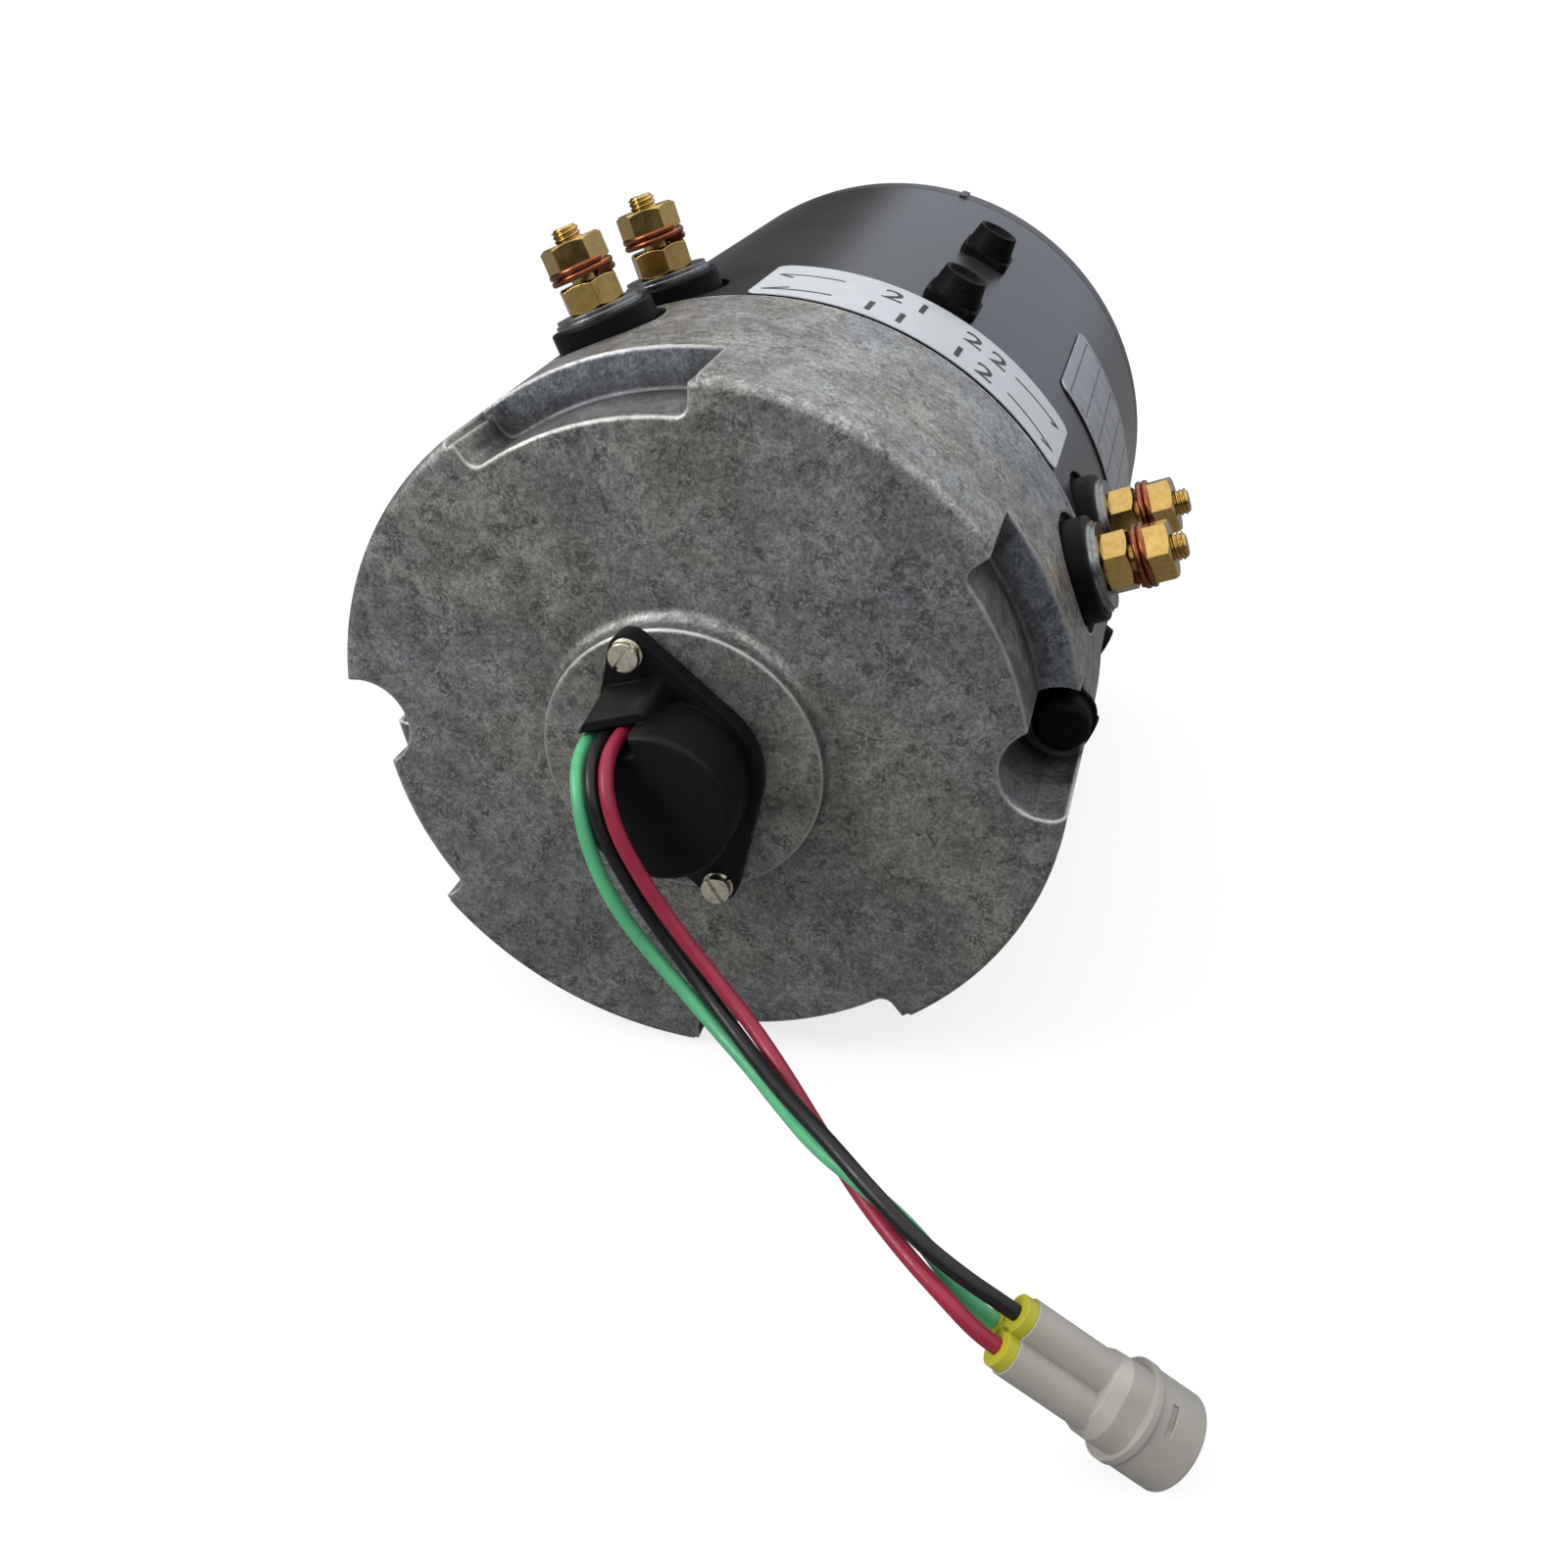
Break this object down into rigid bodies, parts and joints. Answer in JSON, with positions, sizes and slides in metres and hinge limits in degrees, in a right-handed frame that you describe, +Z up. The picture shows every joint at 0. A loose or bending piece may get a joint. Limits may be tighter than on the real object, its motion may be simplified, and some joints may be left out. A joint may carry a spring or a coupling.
{
  "type": "golf cart motor",
  "caption": "Separately excited traction motor with splined armature bore, radial stud terminals, round end bell and a speed sensor on a wired plug.",
  "frame": {"origin": "centre of the drive-end mounting face, on the armature axis", "axes": "-Y along the armature axis to the commutator end, +Z up as the motor lies in the picture, +X to the right seen from the commutator end"},
  "size_m": [0.2104, 0.3402, 0.1913],
  "materials": {
    "yoke_paint": "satin black paint",
    "cast_aluminium": "grey die casting, slightly rough",
    "black_oxide": "black oxide",
    "head_iron": "satin black paint",
    "lamination_steel": "bare electrical steel",
    "copper": "copper",
    "enamel_winding": "varnished winding",
    "tape_winding": "taped and varnished coil",
    "shaft_steel": "machined steel",
    "bearing_steel": "polished steel",
    "zinc_steel": "zinc plated",
    "nickel_steel": "nickel plated",
    "brass": "bright brass",
    "phenolic": "black moulded phenolic",
    "tan_phenolic": "laminated phenolic board",
    "carbon": "carbon graphite",
    "black_plastic": "black moulded plastic",
    "board_green": "circuit board",
    "magnet": "bonded ferrite",
    "nitrile": "black rubber",
    "label_silver": "printed silver film",
    "plate_silver": "anodised sheet",
    "housing_white": "natural nylon",
    "seal_yellow": "silicone rubber",
    "wire_red": "soft insulation",
    "wire_black": "soft insulation",
    "wire_green": "soft insulation"
  },
  "bodies": {
    "motor_frame": {"yoke_tube": "yoke_paint", "commutator_end_bell": "cast_aluminium", "bell_screws": "black_oxide", "drive_end_head": "head_iron", "drive_head_screws": "black_oxide", "pole_shoes": "lamination_steel", "field_coils": "tape_winding", "pole_screws": "black_oxide", "pole_tab_washers": "black_oxide", "bearing_outer_ring": "bearing_steel", "bearing_seals": "nitrile", "bearing_retainer": "shaft_steel", "brush_plate": "tan_phenolic", "brush_plate_screws": "zinc_steel", "brush_boxes": "brass", "terminal_insulators": "phenolic", "terminal_inner_insulators": "phenolic", "terminal_studs": "brass", "terminal_washers": "zinc_steel", "terminal_lower_nuts": "brass", "terminal_spring_washers": "copper", "terminal_upper_nuts": "brass", "marking_label": "label_silver", "rating_plate": "plate_silver", "sensor_body": "black_plastic", "sensor_element": "board_green", "sensor_screws": "nickel_steel", "sensor_washers": "nickel_steel", "connector_housing": "housing_white", "connector_core": "housing_white", "connector_pins": "brass", "connector_wire_seals": "seal_yellow", "lead_red": "wire_red", "lead_black": "wire_black", "lead_green": "wire_green"},
    "armature": {"armature_shaft": "shaft_steel", "spline_bumper": "nitrile", "armature_core": "lamination_steel", "armature_winding": "enamel_winding", "commutator_bars": "copper", "commutator_hub": "phenolic", "speed_magnet": "magnet", "bearing_inner_ring": "bearing_steel"},
    "ball_set": {"bearing_balls": "bearing_steel", "bearing_cage": "brass"},
    "brush_set_1": {"brush_1": "carbon", "brush_spring_1": "shaft_steel"},
    "brush_set_2": {"brush_2": "carbon", "brush_spring_2": "shaft_steel"},
    "brush_set_3": {"brush_3": "carbon", "brush_spring_3": "shaft_steel"},
    "brush_set_4": {"brush_4": "carbon", "brush_spring_4": "shaft_steel"}
  },
  "joints": [
    {"name": "armature_spin", "type": "hinge", "parent": "motor_frame", "child": "armature", "pos_m": [0, -0.12, 0], "axis": [0, -1, 0], "continuous": true},
    {"name": "ball_set_spin", "type": "hinge", "parent": "motor_frame", "child": "ball_set", "pos_m": [0, -0.23, 0], "axis": [0, -1, 0], "continuous": true},
    {"name": "brush_lift_1", "type": "slide", "parent": "motor_frame", "child": "brush_set_1", "axis": [0.4368, 0, 0.8996], "range_m": [0, 0.006]},
    {"name": "brush_lift_2", "type": "slide", "parent": "motor_frame", "child": "brush_set_2", "axis": [0.8996, 0, -0.4368], "range_m": [0, 0.006]},
    {"name": "brush_lift_3", "type": "slide", "parent": "motor_frame", "child": "brush_set_3", "axis": [-0.4368, 0, -0.8996], "range_m": [0, 0.006]},
    {"name": "brush_lift_4", "type": "slide", "parent": "motor_frame", "child": "brush_set_4", "axis": [-0.8996, 0, 0.4368], "range_m": [0, 0.006]}
  ],
  "couplings": [
    {"joint": "ball_set_spin", "follows": "armature_spin", "ratio": 0.4}
  ]
}
